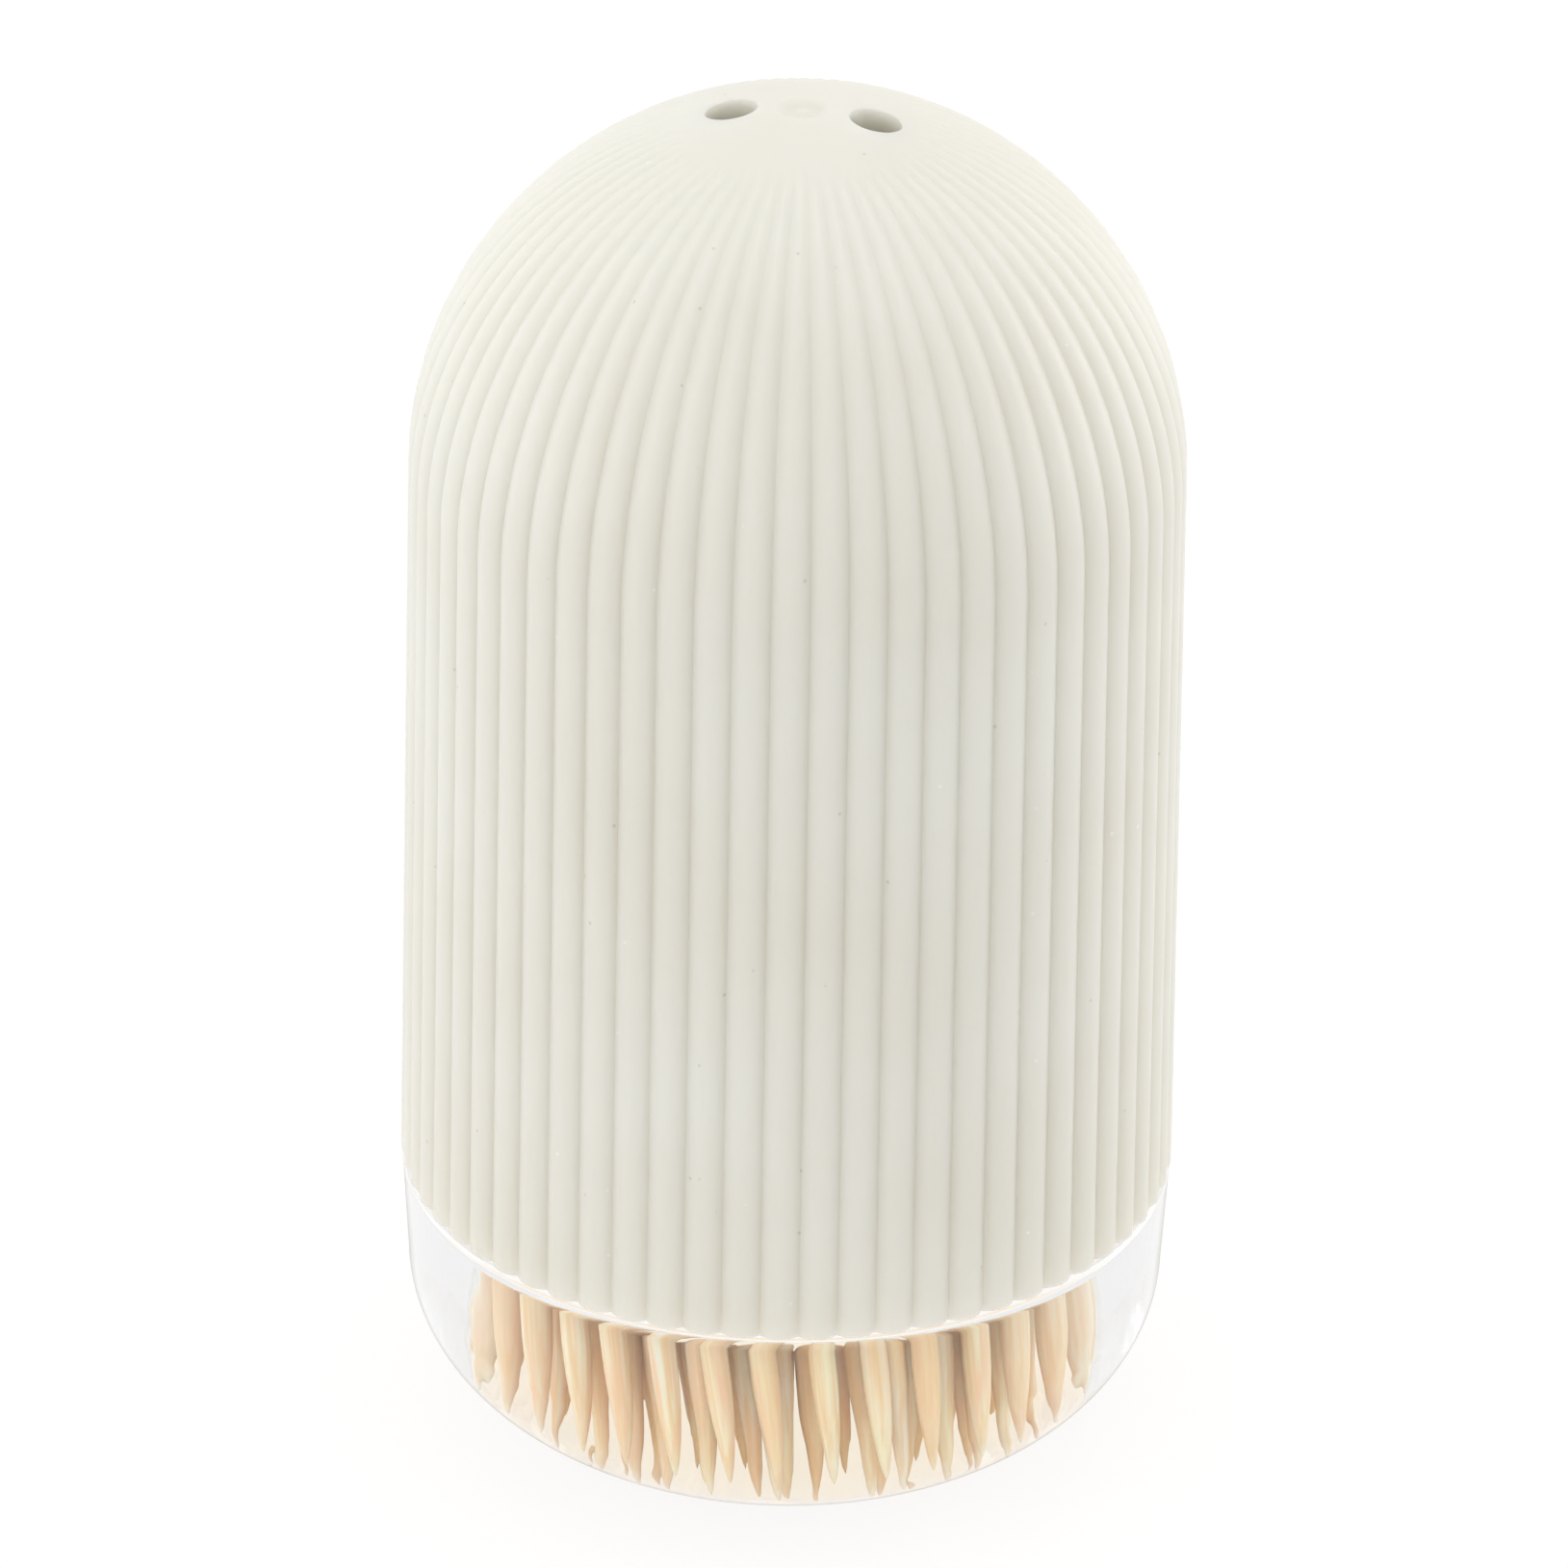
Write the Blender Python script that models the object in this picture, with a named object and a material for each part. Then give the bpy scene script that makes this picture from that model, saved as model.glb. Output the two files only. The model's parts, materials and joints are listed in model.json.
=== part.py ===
"""Toothpick dispenser: a ribbed domed cap, a clear thick-walled base, and the toothpicks inside.

Lengths are in metres and +Z is up. The origin is the centre of the base's flat underside.
The cap pushes over the base's neck and lifts straight off. The toothpicks stand in the base's cavity.
"""

import math

import bmesh
import bpy
from mathutils import Vector

# Fits between pieces
SEAT_GAP = 0.0003
PICK_CLEARANCE = 0.0003
CUT_OVERRUN = 0.004

# Cap, measured over the rib crests. The skirt flares a little from the dome down to the rim
DOME_RADIUS = 0.0300
SKIRT_FLARE = 0.00115
SKIRT_LENGTH = 0.0596
CAP_WALL = 0.0020
RIB_COUNT = 64
RIB_DEPTH = 0.00065
RIB_PHASE_DEG = 2.09
RIB_START_POLAR_DEG = 17.0
RIB_FULL_POLAR_DEG = 36.0
RIB_ARC_SHARE = 0.9
COLUMNS_PER_RIB = 4

# Outlet holes and moulding dimple in the top of the dome
OUTLET_DIAMETER = 0.0040
OUTLET_OFFSET = 0.0055
OUTLET_LINE_DEG = -8.9
DIMPLE_DIAMETER = 0.0043
DIMPLE_DEPTH = 0.0003
DIMPLE_FLOOR_SHARE = 0.84

# Clear base, outside
SHOULDER_HEIGHT = 0.0226
SHOULDER_STEP = 0.00015
SHOULDER_EDGE_ROUND = 0.0008
BASE_DRAFT = 0.0004
BOTTOM_CURVE_RUN = 0.0180
BOTTOM_CURVE_RISE = 0.0135

# Clear base, neck and cavity
NECK_HEIGHT = 0.0080
NECK_WALL = 0.0017
NECK_EDGE_ROUND = 0.0007
CAVITY_DRAFT = 0.00025
CAVITY_CURVE_RUN = 0.0085
CAVITY_CURVE_RISE = 0.0086
FLOOR_THICKNESS = 0.0030

# Toothpicks
PICK_LENGTH = 0.0650
PICK_DIAMETER = 0.0020
PICK_TAPER_LENGTH = 0.0090
PICK_SIDES = 8
# Share of the taper's length, from the tip, against share of the full radius
PICK_TAPER_SHARES = ((0.45, 0.66), (1.0, 1.0))

# Rings of toothpicks, from the wall inwards. The feet's radius is a share of the cavity's lower radius.
# The lean along the ring is a share of the most that the room round the ring allows. It swings about
# its middle value, as many times round the ring as RING_SWING_TURNS says
RING_COUNTS = (40, 16)
RING_START_DEGS = (207.0, 210.0)
RING_SWING_TURNS = (2, 2)
RING_RADIUS_SHARES = (0.958, 0.743)
RING_INWARD_DEGS = (1.6, 0.0)
RING_LEAN_SHARES = (-0.42, -0.42)
RING_SWING_SHARES = (-0.26, -0.45)
# How far a toothpick strays from its even place and lean, as a share of the step and of the lean
STRAY_SHARE = 0.04
GOLDEN_TURN = (3.0 - math.sqrt(5.0)) * math.pi

# Fineness of the turned surfaces
TURNED_COLUMNS = 64
DOME_STEPS = 9
CURVE_STEPS = 7
EDGE_STEPS = 3
SMOOTH_ANGLE_DEG = 35.0

# Colours as linear red, green and blue, then roughness
CAP_FINISH = ((0.78, 0.77, 0.70), 0.55)
BASE_FINISH = ((0.95, 0.96, 0.96), 0.04)
PICK_FINISH = ((0.72, 0.52, 0.30), 0.65)
CLEAR_PLASTIC_IOR = 1.49

# Heights and radii that follow from the sizes above
RIM_HEIGHT = SHOULDER_HEIGHT + SEAT_GAP
DOME_HEIGHT = RIM_HEIGHT + SKIRT_LENGTH
RIM_RADIUS = DOME_RADIUS + SKIRT_FLARE
BORE_RADIUS = DOME_RADIUS - RIB_DEPTH - CAP_WALL
BORE_RIM_RADIUS = RIM_RADIUS - RIB_DEPTH - CAP_WALL
BORE_TAPER = (BORE_RIM_RADIUS - BORE_RADIUS) / SKIRT_LENGTH
SHOULDER_RADIUS = RIM_RADIUS - SHOULDER_STEP
BASE_LOWER_RADIUS = SHOULDER_RADIUS - BASE_DRAFT
NECK_FOOT_RADIUS = BORE_RIM_RADIUS - SEAT_GAP
NECK_TOP_RADIUS = NECK_FOOT_RADIUS - BORE_TAPER * NECK_HEIGHT
CAVITY_MOUTH_RADIUS = NECK_TOP_RADIUS - NECK_WALL
CAVITY_LOWER_RADIUS = CAVITY_MOUTH_RADIUS - CAVITY_DRAFT
PICK_RADIUS = PICK_DIAMETER / 2
CAVITY_CURVE_CENTRE = CAVITY_LOWER_RADIUS - CAVITY_CURVE_RUN
CAVITY_CURVE_TOP = FLOOR_THICKNESS + CAVITY_CURVE_RISE


def clear_scene():
    """Empties the scene that Blender starts with."""
    for obj in list(bpy.data.objects):
        bpy.data.objects.remove(obj)


def principled(name, finish, transmission=0.0, ior=None):
    """A plain material with the piece's colour and roughness."""
    colour, roughness = finish
    material = bpy.data.materials.new(name)
    material.use_nodes = True
    shader = material.node_tree.nodes["Principled BSDF"]
    shader.inputs["Base Color"].default_value = (*colour, 1.0)
    shader.inputs["Roughness"].default_value = roughness
    shader.inputs["Metallic"].default_value = 0.0
    shader.inputs["Transmission Weight"].default_value = transmission
    if ior:
        shader.inputs["IOR"].default_value = ior
    return material


def finish_mesh(bm, name):
    """Turns every face outwards, shades the mesh smooth and keeps its real edges sharp."""
    bmesh.ops.recalc_face_normals(bm, faces=bm.faces)
    mesh = bpy.data.meshes.new(name)
    bm.to_mesh(mesh)
    bm.free()
    mesh.shade_smooth()
    mesh.set_sharp_from_angle(angle=math.radians(SMOOTH_ANGLE_DEG))
    return mesh


def add_object(name, mesh, material, location=(0.0, 0.0, 0.0)):
    """Puts one named piece in the scene."""
    if not mesh.materials:
        mesh.materials.append(material)
    obj = bpy.data.objects.new(name, mesh)
    obj.location = location
    bpy.context.scene.collection.objects.link(obj)
    return obj


def ring(bm, height, radii, start=0.0):
    """One closed ring of points about the axis, with a radius for each column."""
    step = 2 * math.pi / len(radii)
    return [
        bm.verts.new((r * math.cos(start + i * step), r * math.sin(start + i * step), height))
        for i, r in enumerate(radii)
    ]


def join_rings(bm, first, second):
    """Faces between two rings. The first may have several columns for each column of the second."""
    ratio = len(first) // len(second)
    for i, corner in enumerate(second):
        after = second[(i + 1) % len(second)]
        if ratio == 1:
            bm.faces.new((first[i], first[(i + 1) % len(first)], after, corner))
            continue
        for k in range(ratio):
            here = first[i * ratio + k]
            there = first[(i * ratio + k + 1) % len(first)]
            bm.faces.new((here, there, corner))
        bm.faces.new((first[(i + 1) * ratio % len(first)], after, corner))


def close_ring(bm, loop, height):
    """A fan from a ring to a point on the axis."""
    tip = bm.verts.new((0.0, 0.0, height))
    for i, corner in enumerate(loop):
        bm.faces.new((corner, loop[(i + 1) % len(loop)], tip))


def arc(centre_radius, centre_height, run, rise, start_deg, end_deg, steps):
    """Points (radius, height) along a quarter, or less, of an ellipse."""
    points = []
    for i in range(steps + 1):
        angle = math.radians(start_deg + (end_deg - start_deg) * i / steps)
        points.append((centre_radius + run * math.cos(angle), centre_height + rise * math.sin(angle)))
    return points


def ease(value, start, end):
    """Rises smoothly from 0 at start to 1 at end."""
    t = min(max((value - start) / (end - start), 0.0), 1.0)
    return t * t * (3 - 2 * t)


def rib_drop(column):
    """How far a column of the cap lies below its rib's crest, as a share of the rib's depth.

    Each rib is a round arc across its width. Column 0 of each rib is the bottom of a valley.
    """
    across = 2 * (column % COLUMNS_PER_RIB) / COLUMNS_PER_RIB - 1
    lowest = 1 - math.sqrt(1 - RIB_ARC_SHARE**2)
    return (1 - math.sqrt(1 - (RIB_ARC_SHARE * across) ** 2)) / lowest


def rib_share(polar_deg):
    """How deep the ribs are on the dome, at an angle from the top: they shrink as they draw together."""
    narrowing = math.sin(math.radians(polar_deg))
    return narrowing * ease(polar_deg, RIB_START_POLAR_DEG, RIB_FULL_POLAR_DEG)


def ribbed_ring(bm, height, crest_radius, depth, outward=(1.0, 0.0)):
    """A ring of the cap's outside. The ribs sink into it against its outward direction (radius, height)."""
    columns = RIB_COUNT * COLUMNS_PER_RIB
    start = math.radians(RIB_PHASE_DEG - 90)
    points = []
    for i in range(columns):
        sink = depth * rib_drop(i)
        radius = crest_radius - sink * outward[0]
        angle = start + 2 * math.pi * i / columns
        level = height - sink * outward[1]
        points.append(bm.verts.new((radius * math.cos(angle), radius * math.sin(angle), level)))
    return points


def cap_outside(bm):
    """The ribbed skirt and dome, from the rim up, ending in the smooth top with its dimple."""
    rings = [ribbed_ring(bm, 0.0, RIM_RADIUS, RIB_DEPTH)]
    for i in range(DOME_STEPS + 1):
        polar_deg = 90 + (RIB_START_POLAR_DEG - 90) * i / DOME_STEPS
        polar = math.radians(polar_deg)
        outward = (math.sin(polar), math.cos(polar))
        height = SKIRT_LENGTH + DOME_RADIUS * outward[1]
        depth = RIB_DEPTH * rib_share(polar_deg)
        rings.append(ribbed_ring(bm, height, DOME_RADIUS * outward[0], depth, outward))
    dimple_radius = DIMPLE_DIAMETER / 2
    top_radius = DOME_RADIUS * math.sin(math.radians(RIB_START_POLAR_DEG))
    start = math.radians(RIB_PHASE_DEG - 90)
    for radius in ((top_radius + dimple_radius) / 2, dimple_radius):
        height = SKIRT_LENGTH + math.sqrt(DOME_RADIUS**2 - radius**2)
        rings.append(ring(bm, height, [radius] * TURNED_COLUMNS, start))
    dimple_floor = height - DIMPLE_DEPTH
    rings.append(ring(bm, dimple_floor, [dimple_radius * DIMPLE_FLOOR_SHARE] * TURNED_COLUMNS, start))
    for lower, upper in zip(rings, rings[1:]):
        join_rings(bm, lower, upper)
    close_ring(bm, rings[-1], dimple_floor)
    return rings[0]


def cap_inside(bm):
    """The cap's plain bore and round ceiling, from the rim up."""
    start = math.radians(RIB_PHASE_DEG - 90)
    rings = [ring(bm, 0.0, [BORE_RIM_RADIUS] * TURNED_COLUMNS, start)]
    for radius, height in arc(0.0, SKIRT_LENGTH, BORE_RADIUS, BORE_RADIUS, 0, 90, DOME_STEPS)[:-1]:
        rings.append(ring(bm, height, [radius] * TURNED_COLUMNS, start))
    for lower, upper in zip(rings, rings[1:]):
        join_rings(bm, lower, upper)
    close_ring(bm, rings[-1], SKIRT_LENGTH + BORE_RADIUS)
    return rings[0]


def outlet_centres():
    """The two outlet holes lie on one line through the axis."""
    line = math.radians(OUTLET_LINE_DEG)
    right = Vector((math.cos(line), math.sin(line), 0.0)) * OUTLET_OFFSET
    return {"right": right, "left": -right}


def outlet_cutter(side, centre):
    """An upright bar that cuts one outlet hole through the top of the dome."""
    bm = bmesh.new()
    bmesh.ops.create_cone(
        bm,
        cap_ends=True,
        segments=TURNED_COLUMNS // 2,
        radius1=OUTLET_DIAMETER / 2,
        radius2=OUTLET_DIAMETER / 2,
        depth=2 * (DOME_RADIUS - BORE_RADIUS + CUT_OVERRUN),
    )
    cutter = bpy.data.objects.new(f"outlet_cutter_{side}", finish_mesh(bm, f"outlet_cutter_{side}"))
    bpy.context.scene.collection.objects.link(cutter)
    cutter.location = centre + Vector((0.0, 0.0, DOME_HEIGHT + BORE_RADIUS))
    cutter.hide_render = True
    cutter.display_type = "WIRE"
    return cutter


def make_cap():
    """The ribbed cap, with its origin at the centre of its rim."""
    bm = bmesh.new()
    join_rings(bm, cap_outside(bm), cap_inside(bm))
    material = principled("cap_matt_plastic", CAP_FINISH)
    cap = add_object("cap", finish_mesh(bm, "cap"), material, (0.0, 0.0, RIM_HEIGHT))
    for side, centre in outlet_centres().items():
        cut = cap.modifiers.new(f"outlet_{side}", "BOOLEAN")
        cut.operation = "DIFFERENCE"
        cut.solver = "EXACT"
        cut.object = outlet_cutter(side, centre)
    return cap


def base_outside():
    """The base's outside as (radius, height), from the flat underside up to the shoulder."""
    flat_radius = BASE_LOWER_RADIUS - BOTTOM_CURVE_RUN
    points = arc(flat_radius, BOTTOM_CURVE_RISE, BOTTOM_CURVE_RUN, BOTTOM_CURVE_RISE, -90, 0, CURVE_STEPS)
    edge = SHOULDER_EDGE_ROUND
    points += arc(SHOULDER_RADIUS - edge, SHOULDER_HEIGHT - edge, edge, edge, 0, 90, EDGE_STEPS)
    return points


def base_neck():
    """The neck's outside, which follows the cap's tapered bore, and its rounded top edge."""
    top = SHOULDER_HEIGHT + NECK_HEIGHT
    edge = NECK_EDGE_ROUND
    points = [(NECK_FOOT_RADIUS, SHOULDER_HEIGHT)]
    points += arc(NECK_TOP_RADIUS - edge, top - edge, edge, edge, 0, 90, EDGE_STEPS)
    points += arc(CAVITY_MOUTH_RADIUS + edge, top - edge, edge, edge, 90, 180, EDGE_STEPS)
    return points


def base_cavity():
    """The cavity's wall and rounded bottom as (radius, height), from the top down to the floor."""
    run = CAVITY_CURVE_RUN
    rise = CAVITY_CURVE_RISE
    return arc(CAVITY_CURVE_CENTRE, CAVITY_CURVE_TOP, run, rise, 0, -90, CURVE_STEPS)


def make_base():
    """The clear base: one turned body with a shoulder, a neck and a round-bottomed cavity."""
    bm = bmesh.new()
    outline = base_outside() + base_neck() + base_cavity()
    rings = [ring(bm, height, [radius] * TURNED_COLUMNS) for radius, height in outline]
    for lower, upper in zip(rings, rings[1:]):
        join_rings(bm, lower, upper)
    close_ring(bm, rings[0], 0.0)
    close_ring(bm, rings[-1], FLOOR_THICKNESS)
    material = principled("base_clear_plastic", BASE_FINISH, 1.0, CLEAR_PLASTIC_IOR)
    return add_object("base", finish_mesh(bm, "base"), material)


def floor_height(radius):
    """Height of the cavity's floor at a distance from the axis: flat, then up along the round bottom."""
    along = max(radius - CAVITY_CURVE_CENTRE, 0.0) / CAVITY_CURVE_RUN
    return CAVITY_CURVE_TOP - CAVITY_CURVE_RISE * math.sqrt(1 - min(along, 1.0) ** 2)


def pick_mesh():
    """One round toothpick along +Z, with its lower tip at the origin and a bulging taper at each end."""
    bm = bmesh.new()
    bottom = [(at * PICK_TAPER_LENGTH, share * PICK_RADIUS) for at, share in PICK_TAPER_SHARES]
    top = [(PICK_LENGTH - height, radius) for height, radius in reversed(bottom)]
    rings = [ring(bm, height, [radius] * PICK_SIDES) for height, radius in bottom + top]
    for lower, upper in zip(rings, rings[1:]):
        join_rings(bm, lower, upper)
    close_ring(bm, rings[0], 0.0)
    close_ring(bm, rings[-1], PICK_LENGTH)
    return finish_mesh(bm, "toothpick")


def bore_radius(height):
    """The radius inside the closed cap at a height: the tapered bore, then the round ceiling."""
    if height <= DOME_HEIGHT:
        return BORE_RADIUS + BORE_TAPER * (DOME_HEIGHT - height)
    return math.sqrt(max(BORE_RADIUS**2 - (height - DOME_HEIGHT) ** 2, 0.0))


def ring_radii(row):
    """The radius of a ring's feet, and the least radius of its tops, which lean inwards."""
    radius = RING_RADIUS_SHARES[row] * CAVITY_LOWER_RADIUS
    return radius, radius - PICK_LENGTH * math.sin(math.radians(RING_INWARD_DEGS[row]))


def ring_places(row, room):
    """Foot point and direction of each toothpick in one ring.

    The feet stand at even steps, each moved a little along the ring. Each toothpick leans along the
    ring and inwards, so that its top comes no nearer to the axis than the ring's least radius and
    stays within the room.
    """
    radius, least_radius = ring_radii(row)
    inward = (radius - least_radius) / PICK_LENGTH
    count = RING_COUNTS[row]
    step = 2 * math.pi / count
    most_sideways = math.sqrt(max(room**2 - least_radius**2, 0.0))
    for i in range(count):
        stray = STRAY_SHARE * math.sin(i * GOLDEN_TURN)
        angle = math.radians(RING_START_DEGS[row]) + step * (i + stray)
        swing = math.sin(RING_SWING_TURNS[row] * step * i)
        share = RING_LEAN_SHARES[row] + RING_SWING_SHARES[row] * swing
        share += STRAY_SHARE * math.cos(i * GOLDEN_TURN)
        sideways = min(max(share, -1.0), 1.0) * most_sideways / PICK_LENGTH
        outward = Vector((math.cos(angle), math.sin(angle), 0.0))
        along = Vector((-math.sin(angle), math.cos(angle), 0.0))
        foot = outward * radius + Vector((0.0, 0.0, floor_height(radius) + SEAT_GAP))
        upward = Vector((0.0, 0.0, math.sqrt(1 - sideways**2 - inward**2)))
        yield foot, along * sideways - outward * inward + upward


def make_picks():
    """The toothpicks: two leaning rings, and one upright under each outlet hole.

    The outer ring has the room inside the cap, and the inner ring the room inside the outer one.
    """
    mesh = pick_mesh()
    material = principled("toothpick_wood", PICK_FINISH)
    number = 0
    top = floor_height(ring_radii(0)[0]) + SEAT_GAP + PICK_LENGTH
    room = bore_radius(top) - PICK_RADIUS - PICK_CLEARANCE
    for row in range(len(RING_COUNTS)):
        for foot, direction in ring_places(row, room):
            number += 1
            pick = add_object(f"toothpick_{number:02d}", mesh, material, foot)
            pick.rotation_mode = "QUATERNION"
            pick.rotation_quaternion = direction.to_track_quat("Z", "Y")
        room = ring_radii(row)[1] - PICK_DIAMETER - PICK_CLEARANCE
    for side, centre in outlet_centres().items():
        foot = centre + Vector((0.0, 0.0, floor_height(OUTLET_OFFSET) + SEAT_GAP))
        add_object(f"toothpick_under_{side}_outlet", mesh, material, foot)


def main():
    clear_scene()
    make_base()
    make_cap()
    make_picks()


main()
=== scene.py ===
"""Looks of a toothpick dispenser: a ribbed off-white cap, a clear base and the toothpicks in it.

Lengths are in metres, +Z is up and the origin is the centre of the base's flat underside.
"""

import json
import math

import bpy
import numpy as np
from mathutils import Matrix, Vector
from mathutils.geometry import delaunay_2d_cdt


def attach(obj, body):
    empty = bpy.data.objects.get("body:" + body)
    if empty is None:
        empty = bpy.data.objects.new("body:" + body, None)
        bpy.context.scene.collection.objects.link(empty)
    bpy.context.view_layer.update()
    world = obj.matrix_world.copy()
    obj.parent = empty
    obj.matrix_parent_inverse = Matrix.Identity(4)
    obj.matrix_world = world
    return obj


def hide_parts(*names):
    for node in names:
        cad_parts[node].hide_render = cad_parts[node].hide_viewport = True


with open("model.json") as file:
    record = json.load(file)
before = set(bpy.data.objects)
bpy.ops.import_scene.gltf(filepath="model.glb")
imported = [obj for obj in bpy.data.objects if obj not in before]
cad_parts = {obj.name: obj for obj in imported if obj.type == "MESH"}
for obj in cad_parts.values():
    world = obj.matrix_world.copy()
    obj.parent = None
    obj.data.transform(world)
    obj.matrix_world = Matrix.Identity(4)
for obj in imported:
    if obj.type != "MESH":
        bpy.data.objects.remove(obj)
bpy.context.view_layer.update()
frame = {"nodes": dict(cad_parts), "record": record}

MM = 0.001
TURN = 2 * math.pi

# Cap
RIM_HEIGHT = 22.9 * MM
SKIRT_LENGTH = 59.6 * MM
DOME_HEIGHT = RIM_HEIGHT + SKIRT_LENGTH
DOME_RADIUS = 30.0 * MM
RIM_RADIUS = 31.15 * MM
BORE_RADIUS = 27.35 * MM
BORE_RIM_RADIUS = 28.5 * MM
RIM_EDGE_ROUND = 0.2 * MM
RIB_COUNT = 64
RIB_DEPTH = 0.65 * MM
RIB_PHASE_DEG = 2.09
RIB_START_DEG = 16.4
RIB_FULL_DEG = 24.0
RIB_TOP_SHARE = 0.4
RIB_ARC_SHARE = 0.9
VALLEY_START_SHARE = 0.6
COLUMNS_PER_RIB = 12
BORE_COLUMNS = 192
RIM_EDGE_STEPS = 4
SKIRT_STEPS = 10
DOME_STEPS = 55
CEILING_STEPS = 18
BORE_STEPS = 6
CAP_SHARP_DEG = 55

# Smooth top of the cap
OUTLET_RADIUS = 2.0 * MM
OUTLET_OFFSET = 5.5 * MM
OUTLET_LINE_DEG = -8.9
OUTLET_EDGE_ROUND = 0.12 * MM
DIMPLE_RADIUS = 2.15 * MM
DIMPLE_FLAT_RADIUS = 0.55 * DIMPLE_RADIUS
DIMPLE_EDGE_RADIUS = 1.04 * DIMPLE_RADIUS
DIMPLE_DEPTH = 0.3 * MM
GATE_RADIUS = 0.4 * MM
GATE_HEIGHT = 0.07 * MM
TOP_STEP_SHARE = 0.9
TOP_LEAST_STEP = 0.05 * MM
TOP_LEAST_COLUMNS = 96
TOP_MIDDLE_RADIUS = 3.0 * MM
TOP_MIDDLE_COLUMNS = 72
TOP_LAST_RADIUS = 0.2 * MM
OUTLET_COLUMNS = 96
OUTLET_RING_GAP = 0.12 * MM

# Clear base
SHOULDER_HEIGHT = 22.6 * MM
SHOULDER_RADIUS = 31.0 * MM
SHOULDER_EDGE_ROUND = 0.8 * MM
LOWER_RADIUS = 30.6 * MM
BOTTOM_RUN = 18.0 * MM
BOTTOM_RISE = 13.5 * MM
NECK_FOOT_RADIUS = 28.2 * MM
NECK_TOP_RADIUS = 28.046 * MM
NECK_TOP_HEIGHT = 30.6 * MM
NECK_EDGE_ROUND = 0.7 * MM
MOUTH_RADIUS = 26.345 * MM
CAVITY_RADIUS = 26.095 * MM
CAVITY_RUN = 8.5 * MM
CAVITY_RISE = 8.6 * MM
FLOOR_THICKNESS = 3.0 * MM
BASE_COLUMNS = 256
ROUND_BOTTOM_STEPS = 48
SHOULDER_EDGE_STEPS = 10
NECK_EDGE_STEPS = 8
BASE_SHARP_DEG = 50

# Toothpicks
PICK_RADIUS = 1.0 * MM
PICK_TAPER = 9.0 * MM
PICK_TIP_POWER = 0.6
PICK_LENGTH = 65.0 * MM
GRAIN_SHIFT = 50.0 * MM
FIRST_LOOSE_SHIFT = 90
LOOSE_PICKS = 190
LOOSE_TRIES = 9000
LOOSE_SWAY = 1.3 * MM
LOOSE_GAP = 0.12 * MM
OUTLET_WAY_GAP = 0.36 * MM
FLOOR_GAP = 0.3 * MM
CAVITY_WALL_GAP = 0.35 * MM
MOUTH_GAP = 0.2 * MM
BORE_GAP = 0.3 * MM
SEED = 11

# Camera: where the photograph was taken from
CAMERA_DISTANCE = 570.0 * MM
CAMERA_ELEVATION_DEG = 27.75
CAMERA_ROLL_DEG = 0.92
CAMERA_TARGET = (-0.654 * MM, 0.0, 55.029 * MM)
CAMERA_LENS = 166.0
SENSOR_WIDTH = 36.0

# Stage
PAPER_HALF_WIDTH = 1.5
PAPER_LEVEL = -0.1 * MM
ROOM_LIGHT = 0.83
ROOM_SEEN = 1.0
LAMP_SIZE = 0.6
LAMP_AIM = (0.0, 0.0, 0.06)
LAMPS = (
    ("softbox_left", (-0.7, -0.5, 0.35), 1.05),
    ("softbox_top", (0.0, 0.05, 0.9), 1.5),
    ("softbox_back_right", (0.8, 0.35, 0.3), 1.95),
    ("softbox_back_left", (-0.8, 0.35, 0.3), 1.05),
)


# Colour and shader nodes


def to_linear(hex_colour):
    """An sRGB colour such as "E5E1D6" as linear red, green, blue and alpha 1."""
    values = np.array([int(hex_colour[i : i + 2], 16) for i in (0, 2, 4)]) / 255
    linear = np.where(values <= 0.04045, values / 12.92, ((values + 0.055) / 1.055) ** 2.4)
    return (*linear.tolist(), 1.0)


def add_node(tree, kind, links=None, sockets=None, stops=None, **settings):
    """Adds one shader node.

    links are {socket: (node, output)}, sockets hold fixed values and stops fill a colour ramp.
    """
    made = tree.nodes.new(kind)
    for name, value in settings.items():
        setattr(made, name, value)
    for socket, value in (sockets or {}).items():
        made.inputs[socket].default_value = value
    for socket, (source, output) in (links or {}).items():
        tree.links.new(source.outputs[output], made.inputs[socket])
    for i, (place, hex_colour) in enumerate(stops or ()):
        ramp = made.color_ramp.elements
        stop = ramp[i] if i < len(ramp) else ramp.new(place)
        stop.position = place
        stop.color = to_linear(hex_colour)
    return made


def new_material(name):
    """A material with only its output node."""
    material = bpy.data.materials.new(name)
    material.use_nodes = True
    tree = material.node_tree
    tree.nodes.clear()
    return material, tree, add_node(tree, "ShaderNodeOutputMaterial")


CAP_CLOUD_SIZE = 22 * MM
CAP_SPECK_SPACING = 3.4 * MM
CAP_GRAIN_SIZE = 0.30 * MM
CAP_GRAIN_HEIGHT = 0.03 * MM
CAP_TONES = ((0.30, "DEDBCF"), (0.70, "E3E1D7"))
# Speck colours: the dark one is dust, the light one is a painted glint.
CAP_DUST_AND_PAINTED_GLINT_TONES = ((0.55, "A8A191"), (0.57, "FBFAF4"))
CAP_SPECK_EDGE = (0.03, 0.055)
CAP_SPECK_SHARE = 0.35
CAP_ROUGHNESS = (0.44, 0.56)


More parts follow.
